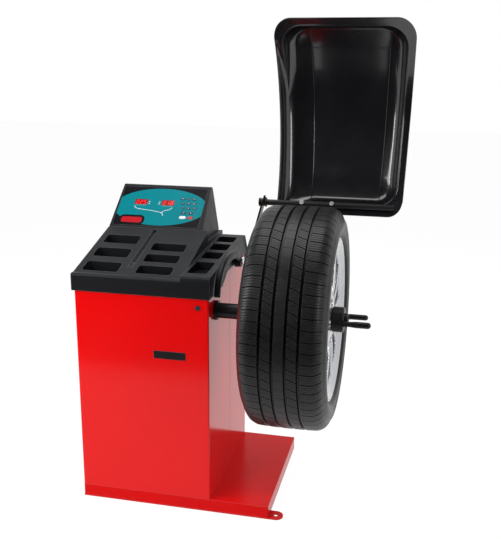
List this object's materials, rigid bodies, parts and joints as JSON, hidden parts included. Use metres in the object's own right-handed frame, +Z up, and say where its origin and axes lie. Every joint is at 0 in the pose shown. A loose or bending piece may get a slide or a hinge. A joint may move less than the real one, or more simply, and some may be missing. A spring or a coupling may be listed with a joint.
{
  "type": "wheel balancer",
  "caption": "Floor-standing wheel balancer: red cabinet on a base pan, weight tray, sloped console, horizontal shaft with clamped car wheel, and raised curved safety hood.",
  "frame": {"origin": "on the floor, in the middle of the rectangular base plate's underside", "axes": "+X along the balancing shaft towards the wheel's outer side, +Y to the back of the cabinet, +Z up"},
  "size_m": [0.9397, 0.8849, 1.4578],
  "materials": {
    "red_paint": "gloss",
    "dark_paint": "satin",
    "black_moulding": "satin",
    "hood_plastic": "gloss",
    "frame_steel": "satin",
    "bright_steel": "brushed",
    "zinc": "zinc plated",
    "shaft_black": "satin",
    "wheel_silver": "lacquered",
    "tyre_rubber": "matt",
    "rubber": "matt",
    "cast_aluminium": "cast",
    "brass": "bright",
    "foil": "satin",
    "led_red": "gloss",
    "board": "solder mask",
    "key_blue": "satin",
    "key_white": "satin",
    "key_red": "satin",
    "disc_plastic": "matt"
  },
  "bodies": {
    "machine": {"base_plate": "red_paint", "base_pan": "red_paint", "front_cover": "red_paint", "rear_cover": "red_paint", "cover_screws": "zinc", "front_plug": "rubber", "badge_plate": "black_moulding", "spindle_column": "frame_steel", "spindle_housing": "frame_steel", "m8_bolts": "zinc", "shaft_bearings": "bright_steel", "force_sensors": "bright_steel", "shaft_ring": "dark_paint", "motor": "cast_aluminium", "motor_bracket": "frame_steel", "power_box": "zinc", "power_inlet": "black_moulding", "power_pins": "brass", "drive_belt": "rubber", "encoder_sensor": "board", "weight_tray": "black_moulding", "console_housing": "black_moulding", "panel_foil": "foil", "display_modules": "led_red", "display_board": "board", "gauge_guide": "black_moulding", "guard_support": "dark_paint", "pivot_bush": "brass"},
    "rotor": {"main_shaft": "shaft_black", "shaft_pulley": "cast_aluminium", "encoder_disc": "disc_plastic", "backing_flange": "frame_steel", "centring_cone": "bright_steel", "cone_spring": "bright_steel"},
    "motor_rotor": {"motor_pulley": "bright_steel"},
    "wheel": {"wheel_rim": "wheel_silver", "tyre": "tyre_rubber", "valve": "rubber"},
    "quick_nut": {"nut_body": "dark_paint", "nut_handle": "dark_paint"},
    "nut_release": {"nut_lever": "dark_paint"},
    "hood": {"guard_tube": "dark_paint", "guard_hood": "hood_plastic", "guard_bolts": "zinc"},
    "gauge_slide": {"gauge_rod": "bright_steel"},
    "gauge_swing": {"gauge_arm": "black_moulding"},
    "rocker": {"power_switch": "key_red"},
    "key_row1_left_body": {"key_row1_left": "key_blue"},
    "key_row1_middle_body": {"key_row1_middle": "key_blue"},
    "key_row1_right_body": {"key_row1_right": "key_blue"},
    "key_row2_left_body": {"key_row2_left": "key_blue"},
    "key_row2_middle_body": {"key_row2_middle": "key_blue"},
    "key_row2_right_body": {"key_row2_right": "key_blue"},
    "key_row3_left_body": {"key_row3_left": "key_blue"},
    "key_row3_middle_body": {"key_row3_middle": "key_blue"},
    "key_row3_right_body": {"key_row3_right": "key_blue"},
    "key_menu_body": {"key_menu": "key_blue"},
    "key_select_body": {"key_select": "key_blue"},
    "key_start_body": {"key_start": "key_white"},
    "key_stop_body": {"key_stop": "key_red"}
  },
  "joints": [
    {"name": "shaft_spin", "type": "hinge", "parent": "machine", "child": "rotor", "pos_m": [0.005, -0.157, 0.62], "axis": [1, 0, 0], "continuous": true},
    {"name": "motor_spin", "type": "hinge", "parent": "machine", "child": "motor_rotor", "pos_m": [-0.155, -0.018, 0.38], "axis": [1, 0, 0], "continuous": true},
    {"name": "wheel_draw", "type": "slide", "parent": "rotor", "child": "wheel", "axis": [1, 0, 0], "range_m": [0, 0.25]},
    {"name": "nut_draw", "type": "slide", "parent": "wheel", "child": "quick_nut", "axis": [1, 0, 0], "range_m": [0, 0.08]},
    {"name": "nut_release", "type": "hinge", "parent": "quick_nut", "child": "nut_release", "pos_m": [0.4833, -0.193, 0.62], "axis": [0, 0, 1], "range_deg": [0, 7], "stiffness_Nm_per_rad": 4},
    {"name": "hood_swing", "type": "hinge", "parent": "machine", "child": "hood", "pos_m": [0.305, 0.257, 0.873], "axis": [1, 0, 0], "range_deg": [0, 61]},
    {"name": "gauge_draw", "type": "slide", "parent": "machine", "child": "gauge_slide", "axis": [1, 0, 0], "range_m": [0, 0.08]},
    {"name": "gauge_swing", "type": "hinge", "parent": "gauge_slide", "child": "gauge_swing", "pos_m": [0.135, 0.067, 0.718], "axis": [-1, 0, 0], "range_deg": [0, 62]},
    {"name": "power_rock", "type": "hinge", "parent": "machine", "child": "rocker", "pos_m": [-0.199, 0.23, 0.18], "axis": [1, 0, 0], "range_deg": [0, 20]},
    {"name": "press_row1_left", "type": "slide", "parent": "machine", "child": "key_row1_left_body", "axis": [0, 0.6293, -0.7771], "range_m": [0, 0.0007], "stiffness_N_per_m": 900},
    {"name": "press_row1_middle", "type": "slide", "parent": "machine", "child": "key_row1_middle_body", "axis": [0, 0.6293, -0.7771], "range_m": [0, 0.0007], "stiffness_N_per_m": 900},
    {"name": "press_row1_right", "type": "slide", "parent": "machine", "child": "key_row1_right_body", "axis": [0, 0.6293, -0.7771], "range_m": [0, 0.0007], "stiffness_N_per_m": 900},
    {"name": "press_row2_left", "type": "slide", "parent": "machine", "child": "key_row2_left_body", "axis": [0, 0.6293, -0.7771], "range_m": [0, 0.0007], "stiffness_N_per_m": 900},
    {"name": "press_row2_middle", "type": "slide", "parent": "machine", "child": "key_row2_middle_body", "axis": [0, 0.6293, -0.7771], "range_m": [0, 0.0007], "stiffness_N_per_m": 900},
    {"name": "press_row2_right", "type": "slide", "parent": "machine", "child": "key_row2_right_body", "axis": [0, 0.6293, -0.7771], "range_m": [0, 0.0007], "stiffness_N_per_m": 900},
    {"name": "press_row3_left", "type": "slide", "parent": "machine", "child": "key_row3_left_body", "axis": [0, 0.6293, -0.7771], "range_m": [0, 0.0007], "stiffness_N_per_m": 900},
    {"name": "press_row3_middle", "type": "slide", "parent": "machine", "child": "key_row3_middle_body", "axis": [0, 0.6293, -0.7771], "range_m": [0, 0.0007], "stiffness_N_per_m": 900},
    {"name": "press_row3_right", "type": "slide", "parent": "machine", "child": "key_row3_right_body", "axis": [0, 0.6293, -0.7771], "range_m": [0, 0.0007], "stiffness_N_per_m": 900},
    {"name": "press_menu", "type": "slide", "parent": "machine", "child": "key_menu_body", "axis": [0, 0.6293, -0.7771], "range_m": [0, 0.0007], "stiffness_N_per_m": 900},
    {"name": "press_select", "type": "slide", "parent": "machine", "child": "key_select_body", "axis": [0, 0.6293, -0.7771], "range_m": [0, 0.0007], "stiffness_N_per_m": 900},
    {"name": "press_start", "type": "slide", "parent": "machine", "child": "key_start_body", "axis": [0, 0.6293, -0.7771], "range_m": [0, 0.0007], "stiffness_N_per_m": 900},
    {"name": "press_stop", "type": "slide", "parent": "machine", "child": "key_stop_body", "axis": [0, 0.6293, -0.7771], "range_m": [0, 0.0007], "stiffness_N_per_m": 900}
  ],
  "couplings": [
    {"joint": "motor_spin", "follows": "shaft_spin", "ratio": 3.3}
  ]
}
